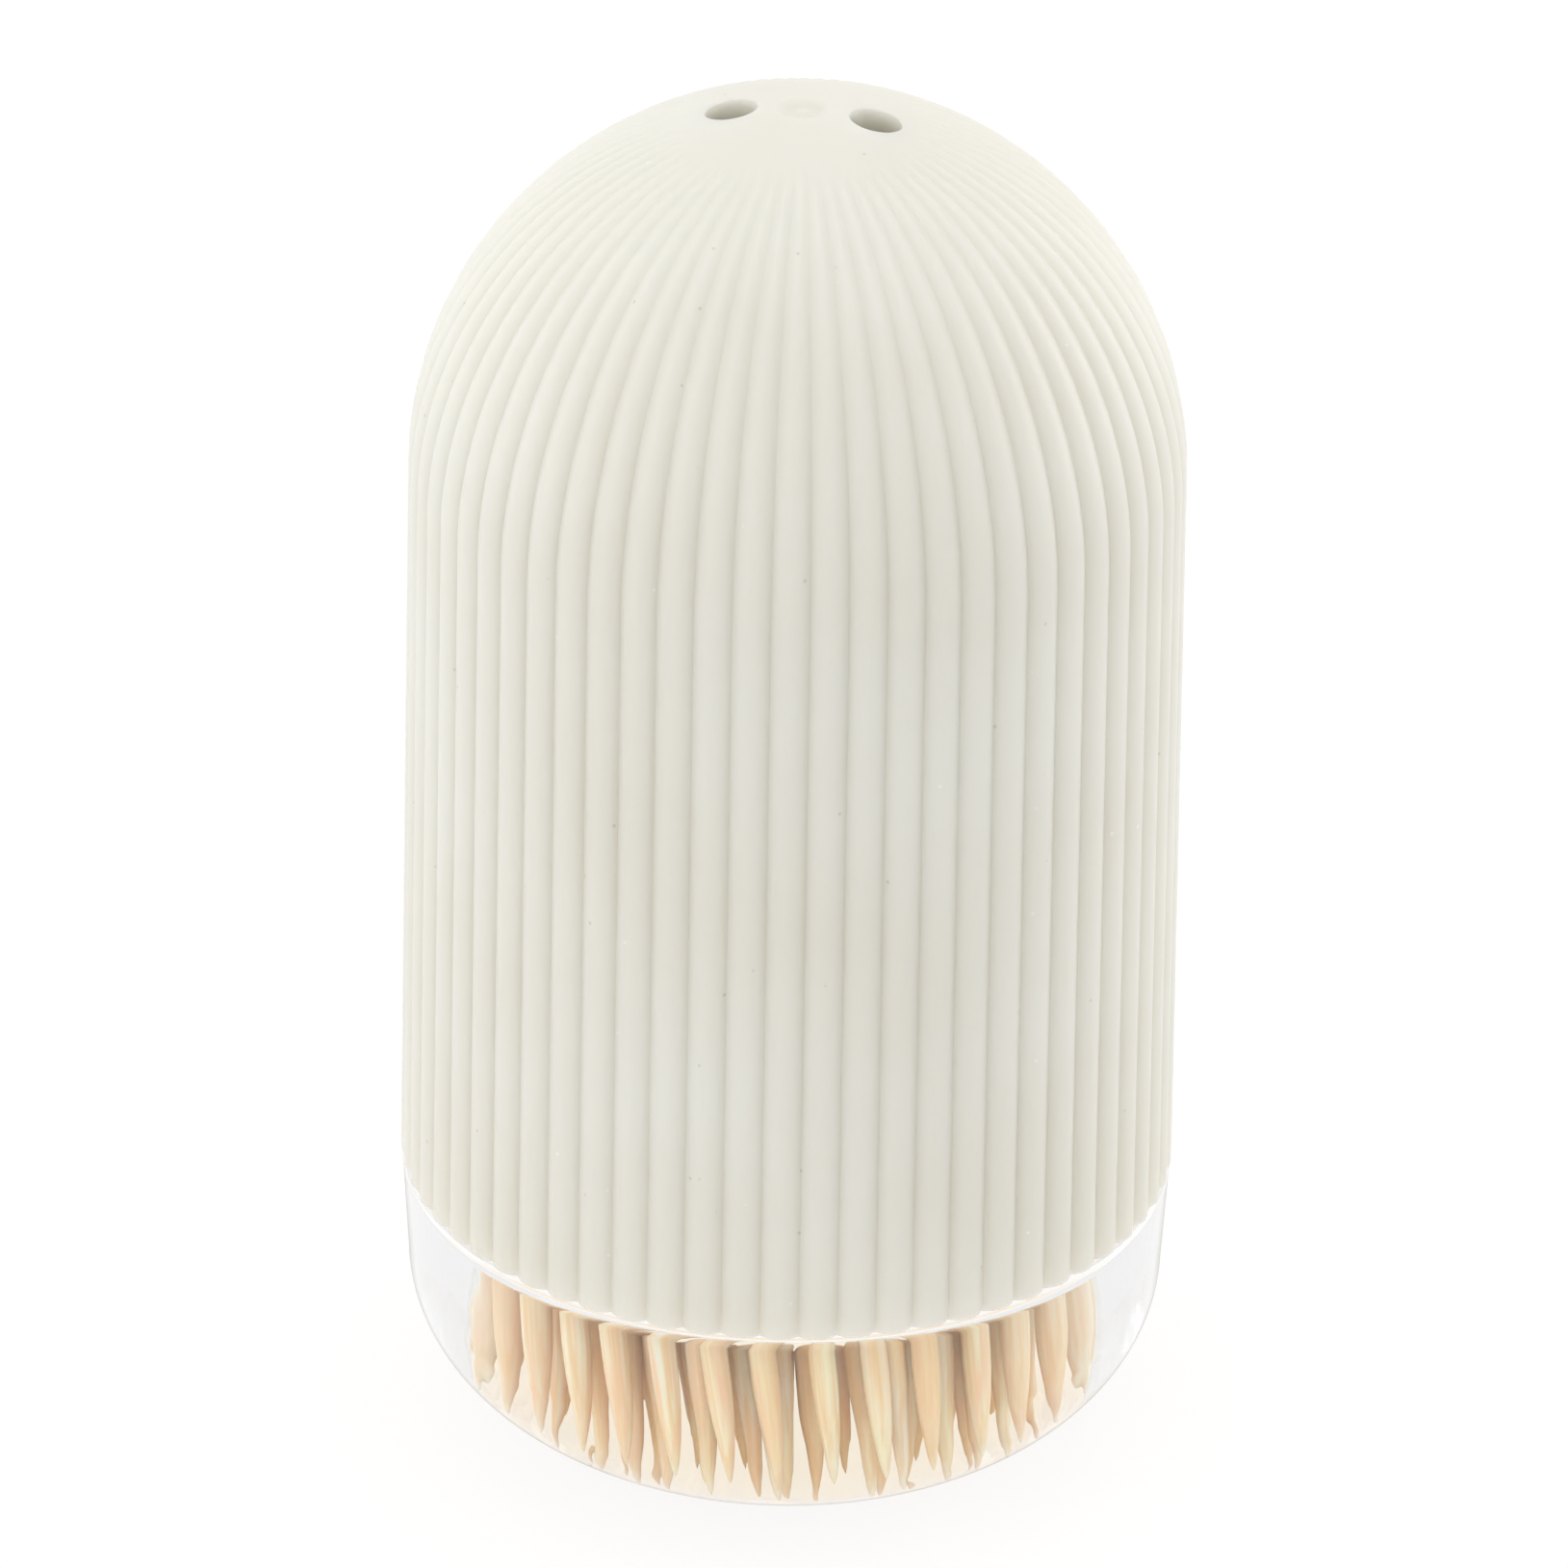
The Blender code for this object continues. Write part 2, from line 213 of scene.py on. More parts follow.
def moulded_satin_plastic():
    """Injection-moulded polypropylene, filled with white pigment, from a spark-eroded mould.

    The eye sees a warm off-white with a soft broad highlight, a barely visible grain and a few tiny specks:
    the dark ones are dust, the light ones are painted glints.
    """
    material, tree, output = new_material("moulded_satin_polypropylene")
    place = add_node(tree, "ShaderNodeTexCoord")
    cloud = add_node(
        tree,
        "ShaderNodeTexNoise",
        {"Vector": (place, "Object")},
        {"Scale": 1 / CAP_CLOUD_SIZE, "Detail": 2.0},
    )
    tint = add_node(tree, "ShaderNodeValToRGB", {"Fac": (cloud, "Fac")}, stops=CAP_TONES)
    speck = add_node(
        tree,
        "ShaderNodeTexVoronoi",
        {"Vector": (place, "Object")},
        {"Scale": 1 / CAP_SPECK_SPACING, "Randomness": 1.0},
    )
    # Where the specks lie: dark ones are dust, light ones are painted glints.
    painted_glint_and_dust_mask = add_node(
        tree,
        "ShaderNodeMapRange",
        {"Value": (speck, "Distance")},
        {
            "From Min": CAP_SPECK_EDGE[0],
            "From Max": CAP_SPECK_EDGE[1],
            "To Min": CAP_SPECK_SHARE,
            "To Max": 0.0,
        },
    )
    dust_and_painted_glint = add_node(tree, "ShaderNodeValToRGB", {"Fac": (speck, "Color")}, stops=CAP_DUST_AND_PAINTED_GLINT_TONES)
    colour = add_node(
        tree,
        "ShaderNodeMix",
        {0: (painted_glint_and_dust_mask, "Result"), 6: (tint, "Color"), 7: (dust_and_painted_glint, "Color")},
        data_type="RGBA",
    )
    grain = add_node(
        tree,
        "ShaderNodeTexNoise",
        {"Vector": (place, "Object")},
        {"Scale": 1 / CAP_GRAIN_SIZE, "Detail": 3.0, "Roughness": 0.6},
    )
    rough = add_node(
        tree,
        "ShaderNodeMapRange",
        {"Value": (grain, "Fac")},
        {"From Min": 0.3, "From Max": 0.7, "To Min": CAP_ROUGHNESS[0], "To Max": CAP_ROUGHNESS[1]},
    )
    relief = add_node(
        tree,
        "ShaderNodeBump",
        {"Height": (grain, "Fac")},
        {"Distance": CAP_GRAIN_HEIGHT, "Strength": 0.25},
    )
    surface = add_node(
        tree,
        "ShaderNodeBsdfPrincipled",
        {"Base Color": (colour, 2), "Roughness": (rough, "Result"), "Normal": (relief, "Normal")},
        {
            "IOR": 1.49,
            "Specular IOR Level": 0.4,
            "Subsurface Weight": 0.8,
            "Subsurface Radius": (1.0, 0.96, 0.88),
            "Subsurface Scale": 4.5 * MM,
        },
    )
    tree.links.new(surface.outputs["BSDF"], output.inputs["Surface"])
    return material


FOOT_HEIGHT = 5 * MM
MOST_TURNS_IN_FOOT = 2.5
FLOW_WAVE_SIZE = 5 * MM
FLOW_WAVE_HEIGHT = 0.25 * MM
FLOW_WAVE_LEVELS = (4 * MM, 14 * MM)
FLOW_WAVE_STRENGTHS = (0.9, 0.3)
# Painted shade: a grey line where the plastic is seen edge-on.
PAINTED_EDGE_FACING = (0.84, 0.98)
PAINTED_EDGE_SHARE = 0.55


def moulded_clear_plastic():
    """Injection-moulded clear polystyrene with polished faces.

    The eye sees a colourless body that bends what lies behind it, with faint flow waves from the moulding,
    stronger near the foot. A thin grey line along its outline is painted shade, drawn where the surface is
    seen edge-on. Light on its way to the toothpicks goes straight through, and so does a ray turned back
    too often inside. In the foot such light is tinted warm: a painted warm glow in the foot.
    """
    material, tree, output = new_material("moulded_clear_polystyrene")
    place = add_node(tree, "ShaderNodeTexCoord")
    part = add_node(tree, "ShaderNodeSeparateXYZ", {"Vector": (place, "Object")})
    stretch = add_node(tree, "ShaderNodeMapping", {"Vector": (place, "Object")}, {"Scale": (1.0, 1.0, 0.4)})
    wave = add_node(
        tree,
        "ShaderNodeTexNoise",
        {"Vector": (stretch, "Vector")},
        {"Scale": 1 / FLOW_WAVE_SIZE, "Detail": 1.5},
    )
    swell = add_node(
        tree,
        "ShaderNodeMapRange",
        {"Value": (part, "Z")},
        {
            "From Min": FLOW_WAVE_LEVELS[0],
            "From Max": FLOW_WAVE_LEVELS[1],
            "To Min": FLOW_WAVE_STRENGTHS[0],
            "To Max": FLOW_WAVE_STRENGTHS[1],
        },
    )
    relief = add_node(
        tree,
        "ShaderNodeBump",
        {"Height": (wave, "Fac"), "Strength": (swell, "Result")},
        {"Distance": FLOW_WAVE_HEIGHT},
    )
    surface = add_node(
        tree,
        "ShaderNodeBsdfPrincipled",
        {"Normal": (relief, "Normal")},
        {"Base Color": to_linear("FDFEFE"), "Roughness": 0.0, "IOR": 1.49, "Transmission Weight": 1.0},
    )
    # Painted shade: a grey see-through layer where the surface is seen edge-on draws a dark outline.
    grazing = add_node(tree, "ShaderNodeLayerWeight", None, {"Blend": 0.5})
    rim = add_node(
        tree,
        "ShaderNodeMapRange",
        {"Value": (grazing, "Facing")},
        {
            "From Min": PAINTED_EDGE_FACING[0],
            "From Max": PAINTED_EDGE_FACING[1],
            "To Min": 0.0,
            "To Max": PAINTED_EDGE_SHARE,
        },
    )
    painted_dark_edge = add_node(tree, "ShaderNodeBsdfTransparent", None, {"Color": to_linear("C6C3BA")})
    with_painted_edge = add_node(
        tree,
        "ShaderNodeMixShader",
        {0: (rim, "Result"), 1: (surface, "BSDF"), 2: (painted_dark_edge, "BSDF")},
    )
    ray = add_node(tree, "ShaderNodeLightPath")
    lit = add_node(
        tree,
        "ShaderNodeMath",
        {0: (ray, "Is Shadow Ray"), 1: (ray, "Is Diffuse Ray")},
        operation="MAXIMUM",
    )
    above = add_node(tree, "ShaderNodeMath", {0: (part, "Z")}, {1: FOOT_HEIGHT}, operation="GREATER_THAN")
    turns = add_node(
        tree,
        "ShaderNodeMath",
        {0: (above, "Value")},
        {1: MOST_TURNS_IN_FOOT},
        operation="ADD",
    )
    spent = add_node(
        tree,
        "ShaderNodeMath",
        {0: (ray, "Ray Depth"), 1: (turns, "Value")},
        operation="GREATER_THAN",
    )
    straight = add_node(
        tree,
        "ShaderNodeMath",
        {0: (lit, "Value"), 1: (spent, "Value")},
        operation="MAXIMUM",
    )
    # Painted warm light: rays that go straight through the foot are tinted warm.
    painted_warm_glow = add_node(
        tree,
        "ShaderNodeMix",
        {0: (above, "Value")},
        {6: to_linear("FFF2DE"), 7: to_linear("FFFFFF")},
        data_type="RGBA",
    )
    open_way = add_node(tree, "ShaderNodeBsdfTransparent", {"Color": (painted_warm_glow, 2)})
    both = add_node(
        tree,
        "ShaderNodeMixShader",
        {0: (straight, "Value"), 1: (with_painted_edge, "Shader"), 2: (open_way, "BSDF")},
    )
    tree.links.new(both.outputs["Shader"], output.inputs["Surface"])
    return material


WOOD_TONE_SIZE = 60 * MM
STREAK_WIDTH = 0.45 * MM
STREAK_HEIGHT = 0.04 * MM
STREAK_SHARE = 0.8
BLUSH_WIDTH = 1.1 * MM
BLUSH_SHARE = 0.7
WOOD_TONES = (
    (0.34, "FADDB6"),
    (0.41, "FEF1D6"),
    (0.47, "FCE4C6"),
    (0.53, "FEF0CD"),
    (0.59, "FAF0DE"),
    (0.66, "FBE1BA"),
)


def turned_birch():
    """Birch, cut into round sticks, pointed and left bare.

    The eye sees pale cream to peach wood without gloss. It has fine lengthwise streaks, broader peach bands
    and a different tone on each stick.
    """
    material, tree, output = new_material("turned_birch")
    along = add_node(tree, "ShaderNodeAttribute", attribute_name="grain")
    tone = add_node(
        tree,
        "ShaderNodeTexNoise",
        {"Vector": (along, "Vector")},
        {"Scale": 1 / WOOD_TONE_SIZE, "Detail": 0.0},
    )
    wood = add_node(tree, "ShaderNodeValToRGB", {"Fac": (tone, "Fac")}, stops=WOOD_TONES)
    fine = add_node(tree, "ShaderNodeMapping", {"Vector": (along, "Vector")}, {"Scale": (1.0, 1.0, 0.03)})
    streak = add_node(
        tree,
        "ShaderNodeTexNoise",
        {"Vector": (fine, "Vector")},
        {"Scale": 1 / STREAK_WIDTH, "Detail": 3.0, "Roughness": 0.55},
    )
    shade = add_node(
        tree,
        "ShaderNodeMapRange",
        {"Value": (streak, "Fac")},
        {"From Min": 0.42, "From Max": 0.66, "To Min": 0.0, "To Max": STREAK_SHARE},
    )
    streaked = add_node(
        tree,
        "ShaderNodeMix",
        {0: (shade, "Result"), 6: (wood, "Color")},
        {7: to_linear("F2CF99")},
        data_type="RGBA",
    )
    wide = add_node(tree, "ShaderNodeMapping", {"Vector": (along, "Vector")}, {"Scale": (1.0, 1.0, 0.05)})
    heart = add_node(
        tree,
        "ShaderNodeTexNoise",
        {"Vector": (wide, "Vector")},
        {"Scale": 1 / BLUSH_WIDTH, "Detail": 2.0},
    )
    blush = add_node(
        tree,
        "ShaderNodeMapRange",
        {"Value": (heart, "Fac")},
        {"From Min": 0.5, "From Max": 0.66, "To Min": 0.0, "To Max": BLUSH_SHARE},
    )
    colour = add_node(
        tree,
        "ShaderNodeMix",
        {0: (blush, "Result"), 6: (streaked, 2)},
        {7: to_linear("F8CCA4")},
        data_type="RGBA",
    )
    relief = add_node(
        tree,
        "ShaderNodeBump",
        {"Height": (streak, "Fac")},
        {"Distance": STREAK_HEIGHT, "Strength": 0.4},
    )
    surface = add_node(
        tree,
        "ShaderNodeBsdfPrincipled",
        {"Base Color": (colour, 2), "Normal": (relief, "Normal")},
        {
            "Roughness": 0.7,
            "IOR": 1.5,
            "Specular IOR Level": 0.3,
            "Subsurface Weight": 0.6,
            "Subsurface Radius": (1.0, 0.65, 0.4),
            "Subsurface Scale": 0.9 * MM,
        },
    )
    tree.links.new(surface.outputs["BSDF"], output.inputs["Surface"])
    return material


BENEATH_RADIUS = 32 * MM
MOST_TURNS_TO_PAPER = 2.5
# Beneath the base the paper seen through the plastic glows more (painted light). Farther out it glows
# dimmer for rays turned several times (painted shade).
PAPER_SHARE_WITH_PAINTED_LIFT = (0.85, 0.97)
PAPER_GLOW_WITH_PAINTED_DIM = (1.03, 0.86)


def white_sweep():
    """White studio paper, lit as a plain diffuse sheet where it throws light on the object.

    Seen directly, in gloss or through the clear plastic it is mostly evenly white and keeps a faint shadow.
    Through the clear plastic it glows more evenly beneath the base: painted light that lifts the shadow
    seen there. Farther out it is a little dimmer for a ray that was turned several times: painted shade
    seen through the clear base.
    """
    material, tree, output = new_material("white_studio_paper")
    ray = add_node(tree, "ShaderNodeLightPath")
    seen = add_node(
        tree,
        "ShaderNodeMath",
        {0: (ray, "Is Camera Ray"), 1: (ray, "Is Glossy Ray")},
        operation="MAXIMUM",
    )
    shown = add_node(
        tree,
        "ShaderNodeMath",
        {0: (seen, "Value"), 1: (ray, "Is Transmission Ray")},
        operation="MAXIMUM",
    )
    place = add_node(tree, "ShaderNodeTexCoord")
    axis_gap = add_node(tree, "ShaderNodeVectorMath", {0: (place, "Object")}, operation="LENGTH")
    beyond = add_node(
        tree,
        "ShaderNodeMath",
        {0: (axis_gap, "Value")},
        {1: BENEATH_RADIUS},
        operation="GREATER_THAN",
    )
    # Painted light: beneath the base, paper seen through the plastic takes a larger glow share, which lifts
    # its shadow.
    beneath = add_node(
        tree,
        "ShaderNodeMath",
        {0: (ray, "Is Transmission Ray"), 1: (beyond, "Value")},
        operation="GREATER_THAN",
    )
    painted_shadow_lift = add_node(
        tree,
        "ShaderNodeMapRange",
        {"Value": (beneath, "Value")},
        {"From Min": 0.0, "From Max": 1.0, "To Min": PAPER_SHARE_WITH_PAINTED_LIFT[0], "To Max": PAPER_SHARE_WITH_PAINTED_LIFT[1]},
    )
    share = add_node(
        tree,
        "ShaderNodeMath",
        {0: (shown, "Value"), 1: (painted_shadow_lift, "Result")},
        operation="MULTIPLY",
    )
    # Painted shade: farther out, paper reached after several turns glows dimmer.
    deep = add_node(
        tree,
        "ShaderNodeMath",
        {0: (ray, "Ray Depth")},
        {1: MOST_TURNS_TO_PAPER},
        operation="GREATER_THAN",
    )
    painted_dim_mask = add_node(tree, "ShaderNodeMath", {0: (beyond, "Value"), 1: (deep, "Value")}, operation="MULTIPLY")
    level = add_node(
        tree,
        "ShaderNodeMapRange",
        {"Value": (painted_dim_mask, "Value")},
        {"From Min": 0.0, "From Max": 1.0, "To Min": PAPER_GLOW_WITH_PAINTED_DIM[0], "To Max": PAPER_GLOW_WITH_PAINTED_DIM[1]},
    )
    paper = add_node(tree, "ShaderNodeBsdfDiffuse", None, {"Color": to_linear("F8F8F8")})
    glow = add_node(tree, "ShaderNodeEmission", {"Strength": (level, "Result")}, {"Color": (1, 1, 1, 1)})
    both = add_node(
        tree,
        "ShaderNodeMixShader",
        {0: (share, "Value"), 1: (paper, "BSDF"), 2: (glow, "Emission")},
    )
    tree.links.new(both.outputs["Shader"], output.inputs["Surface"])
    return material


# Meshes


def between_rows(first, second):
    """Faces between two closed rows of point numbers that run the same way round.

    With equal rows they are quads. With k times as many points in the first row, each point of the second
    takes k triangles and one more joins it to its neighbour.
    """
    after = np.roll(first, -1)
    if len(first) == len(second):
        return [np.stack([first, after, np.roll(second, -1), second], 1)]
    share = len(first) // len(second)
    nearest = second[np.round(np.arange(len(first)) / share).astype(int) % len(second)]
    nearest_after = np.roll(nearest, -1)
    fans = np.stack([first, after, nearest], 1)
    steps = np.stack([after, nearest_after, nearest], 1)[nearest != nearest_after]
    return [fans, steps]


def closed_rows(counts, start_pole=False, end_pole=False):
    """Faces of a surface made of closed rows, whose points follow one another in the point list.

    counts are the rows' numbers of points. A pole, if there is one, is a single point before the first row
    or after the last, joined to it by triangles.
    """
    starts = np.concatenate([[0], np.cumsum(counts)]) + int(start_pole)
    rows = [np.arange(starts[i], starts[i + 1]) for i in range(len(counts))]
    faces = []
    if start_pole:
        faces.append(np.stack([np.zeros_like(rows[0]), np.roll(rows[0], -1), rows[0]], 1))
    for first, second in zip(rows, rows[1:]):
        faces += between_rows(first, second)
    if end_pole:
        faces.append(np.stack([rows[-1], np.roll(rows[-1], -1), np.full_like(rows[-1], starts[-1])], 1))
    return faces


def make_piece(name, points, faces, material, body, sharp_deg=None, grain=None):
    """A mesh piece from points and lists of faces.

    It rides on a body and takes the finish of a material slot. Edges sharper than sharp_deg stay crisp.
    """
    mesh = bpy.data.meshes.new(name)
    corners = np.concatenate([part.ravel() for part in faces]).astype(np.int32)
    sizes = np.concatenate([np.full(len(part), part.shape[1]) for part in faces])
    starts = np.concatenate([[0], np.cumsum(sizes)[:-1]]).astype(np.int32)
    mesh.vertices.add(len(points))
    mesh.vertices.foreach_set("co", points.astype(np.float32).ravel())
    mesh.loops.add(len(corners))
    mesh.loops.foreach_set("vertex_index", corners)
    mesh.polygons.add(len(sizes))
    mesh.polygons.foreach_set("loop_start", starts)
    mesh.update(calc_edges=True)
    if grain is not None:
        mesh.attributes.new("grain", "FLOAT_VECTOR", "POINT")
        mesh.attributes["grain"].data.foreach_set("vector", grain.astype(np.float32).ravel())
    mesh.shade_smooth()
    if sharp_deg:
        mesh.set_sharp_from_angle(angle=math.radians(sharp_deg))
    mesh.materials.append(material)
    piece = bpy.data.objects.new(name, mesh)
    bpy.context.scene.collection.objects.link(piece)
    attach(piece, body)
    return piece


def arc(centre_radius, centre_height, run, rise, start_deg, end_deg, steps):
    """Points of an elliptical arc as (radius, height).

    Each is the centre plus run times the cosine and rise times the sine of the angle.
    """
    angle = np.radians(np.linspace(start_deg, end_deg, steps + 1))
    return np.stack([centre_radius + run * np.cos(angle), centre_height + rise * np.sin(angle)], 1)


def ease(value, start, end):
    """Rises from 0 at start to 1 at end, with level ends: 3t squared less 2t cubed."""
    t = np.clip((value - start) / (end - start), 0.0, 1.0)
    return t * t * (3 - 2 * t)


def rib_columns():
    """Angle of each column of the cap's outside, and its two drops below the crest, as shares of the depth.

    The first drop makes the rib a circular arc across its width. Below a share of the depth its valley is
    rounded: t of the rest becomes t less a third of t cubed. The second drop is a soft cosine wave. The
    columns crowd towards the valleys: a place across the rib, from -1 to 1, is the negative cosine of half
    a turn times its even step.
    """
    step = np.arange(RIB_COUNT * COLUMNS_PER_RIB)
    across = -np.cos(math.pi * (step % COLUMNS_PER_RIB) / COLUMNS_PER_RIB)
    lowest = 1 - math.sqrt(1 - RIB_ARC_SHARE**2)
    drop = (1 - np.sqrt(1 - (RIB_ARC_SHARE * across) ** 2)) / lowest
    rest = 1 - VALLEY_START_SHARE
    t = np.clip((drop - VALLEY_START_SHARE) / rest, 0.0, 1.0)
    drop = np.minimum(drop, VALLEY_START_SHARE) + rest * (t - t**3 / 3)
    turns = (step // COLUMNS_PER_RIB + (across + 1) / 2) / RIB_COUNT
    wave = (1 - np.cos(math.pi * across)) / 2
    return math.radians(RIB_PHASE_DEG - 90) + TURN * turns, drop, wave


def cap_outside_rows():
    """Rows of the cap's ribbed outside from the rim up to the smooth top.

    Each row has a crest radius, a height, a share of the full rib and an outward direction. A column's
    point is the crest point less the rib's depth times that share times its drop, along that direction. The
    drop is the arc's by the share and the soft wave's by the rest. Over the dome the share is the sine of
    the polar angle times a slope that grows with its cube, and the ribs fade out near the smooth top.
    """
    angle, arch, wave = rib_columns()
    edge_centre = (RIM_RADIUS - RIM_EDGE_ROUND, RIM_HEIGHT + RIM_EDGE_ROUND)
    edge = arc(*edge_centre, RIM_EDGE_ROUND, RIM_EDGE_ROUND, -90, 0, RIM_EDGE_STEPS)
    rise = np.linspace(0, 1, SKIRT_STEPS + 1)[1:-1]
    skirt = np.stack([RIM_RADIUS + (DOME_RADIUS - RIM_RADIUS) * rise, RIM_HEIGHT + SKIRT_LENGTH * rise], 1)
    polar = np.radians(np.linspace(90, RIB_START_DEG, DOME_STEPS + 1))
    dome = np.stack([DOME_RADIUS * np.sin(polar), DOME_HEIGHT + DOME_RADIUS * np.cos(polar)], 1)
    crest = np.concatenate([edge, skirt, dome])
    around = np.sin(polar)
    slope = RIB_TOP_SHARE + (1 - RIB_TOP_SHARE) * around**3
    share = around * slope * ease(np.degrees(polar), RIB_START_DEG, RIB_FULL_DEG)
    share = np.concatenate([np.ones(len(edge) + len(skirt)), share])[:, None]
    depth = RIB_DEPTH * share * (share * arch + (1 - share) * wave)
    outward = np.zeros_like(crest)
    outward[:, 0] = 1.0
    outward[-len(polar) :] = np.stack([np.sin(polar), np.cos(polar)], 1)
    radius = crest[:, :1] - depth * outward[:, :1]
    height = crest[:, 1:] - depth * outward[:, 1:]
    return np.stack([radius * np.cos(angle), radius * np.sin(angle), height], 2)


def cap_inside_rows():
    """Rows of the cap's plain inside from the edge of its ceiling down the bore to the rim."""
    polar_end = math.degrees(math.asin(DOME_RADIUS * math.sin(math.radians(RIB_START_DEG)) / BORE_RADIUS))
    ceiling = arc(0.0, DOME_HEIGHT, BORE_RADIUS, BORE_RADIUS, 90 - polar_end, 0, CEILING_STEPS)
    fall = np.linspace(0, 1, BORE_STEPS + 1)[1:-1]
    bore_radius = BORE_RADIUS + (BORE_RIM_RADIUS - BORE_RADIUS) * fall
    bore = np.stack([bore_radius, DOME_HEIGHT - SKIRT_LENGTH * fall], 1)
    centre = (BORE_RIM_RADIUS + RIM_EDGE_ROUND, RIM_HEIGHT + RIM_EDGE_ROUND)
    edge = arc(*centre, RIM_EDGE_ROUND, RIM_EDGE_ROUND, 180, 270, RIM_EDGE_STEPS)
    profile = np.concatenate([ceiling, bore, edge])
    angle = math.radians(RIB_PHASE_DEG - 90) + TURN * np.arange(BORE_COLUMNS) / BORE_COLUMNS
    radius = profile[:, :1]
    height = np.repeat(profile[:, 1:], BORE_COLUMNS, 1)
    return np.stack([radius * np.cos(angle), radius * np.sin(angle), height], 2)


def outlet_centres():
    """The two outlet holes' centres in plan, on one line through the axis."""
    line = math.radians(OUTLET_LINE_DEG)
    right = OUTLET_OFFSET * np.array([math.cos(line), math.sin(line)])
    return [right, -right]


def circle_plan(centre, radius, count, start=0.0):
    """Even points round a circle in plan: the centre plus radius times (cosine, sine)."""
    angle = start + TURN * np.arange(count) / count
    return centre + radius * np.stack([np.cos(angle), np.sin(angle)], 1)


OUTLET_RINGS = np.concatenate([
    OUTLET_RADIUS + OUTLET_EDGE_ROUND * (1 - np.cos(np.radians(np.linspace(0, 90, 8)))),
    OUTLET_RADIUS + OUTLET_EDGE_ROUND + np.array([0.08, 0.2, 0.36]) * MM,
])


def top_plan(rim):
    """The smooth top in plan, inside a closed row of rim points.

    It has rings round the axis and round each outlet hole. A Delaunay triangulation that keeps the rim and
    the holes' edges joins them. The points come back with the rim first, then each hole's edge, and the
    triangles inside the holes are left out.
    """
    centres = outlet_centres()
    loops = [rim] + [circle_plan(c, OUTLET_RADIUS, OUTLET_COLUMNS) for c in centres]
    half_step = math.pi / OUTLET_COLUMNS
    turned = [(radius, i % 2 * half_step) for i, radius in enumerate(OUTLET_RINGS)][1:]
    extra = [circle_plan(c, radius, OUTLET_COLUMNS, start) for c in centres for radius, start in turned]
    rings = [np.zeros((1, 2))]
    radius, count = np.hypot(*rim[0]), len(rim)
    while radius > TOP_LAST_RADIUS:
        radius -= max(TOP_STEP_SHARE * TURN * radius / count, TOP_LEAST_STEP)
        count = max(count // 2, TOP_LEAST_COLUMNS) if radius > TOP_MIDDLE_RADIUS else TOP_MIDDLE_COLUMNS
        rings.append(circle_plan(np.zeros(2), max(radius, TOP_LEAST_STEP), count))
    field = np.concatenate(rings)
    clear = OUTLET_RINGS[-1] + OUTLET_RING_GAP
    for centre in centres:
        field = field[np.hypot(*(field - centre).T) > clear]
    plan = np.concatenate(loops + extra + [field])
    edges = []
    first = 0
    for loop in loops:
        row = np.arange(first, first + len(loop))
        edges += np.stack([row, np.roll(row, -1)], 1).tolist()
        first += len(loop)
    found = delaunay_2d_cdt([Vector(p) for p in (plan / MM).tolist()], edges, [], 0, 1e-5, True)
    source = np.array([ids[0] for ids in found[3]])
    triangles = source[np.array([list(face) for face in found[2]])]
    middle = plan[triangles].mean(1)
    for centre in centres:
        outside = np.hypot(*(middle - centre).T) > OUTLET_RADIUS
        triangles, middle = triangles[outside], middle[outside]
    side = plan[triangles]
    area = np.cross(side[:, 1] - side[:, 0], side[:, 2] - side[:, 0])
    triangles[area < 0] = triangles[area < 0][:, ::-1]
    return plan, triangles


def outlet_round(plan):
    """How far the skin has turned into an outlet hole at each plan point.

    It follows a quarter circle from the flat skin to the hole's wall.
    """
    gap = np.min([np.hypot(*(plan - c).T) for c in outlet_centres()], 0) - OUTLET_RADIUS
    left = np.clip(OUTLET_EDGE_ROUND - gap, 0.0, OUTLET_EDGE_ROUND)
    return OUTLET_EDGE_ROUND - np.sqrt(np.maximum(OUTLET_EDGE_ROUND**2 - left**2, 0.0))


def top_height(plan):
    """Height of the top's outside: the sphere, less a soft-edged dish at the axis, plus a low nub in it.

    The nub falls off as e to the minus fourth power of the distance over its radius.
    """
    radius = np.hypot(*plan.T)
    dish = DIMPLE_DEPTH * (1 - ease(radius, DIMPLE_FLAT_RADIUS, DIMPLE_EDGE_RADIUS))
    nub = GATE_HEIGHT * np.exp(-((radius / GATE_RADIUS) ** 4))
    return DOME_HEIGHT + np.sqrt(DOME_RADIUS**2 - radius**2) - dish + nub - outlet_round(plan)


def ceiling_height(plan):
    """Height of the cap's ceiling over the same plan: the inner sphere."""
    return DOME_HEIGHT + np.sqrt(BORE_RADIUS**2 - np.hypot(*plan.T) ** 2) + outlet_round(plan)


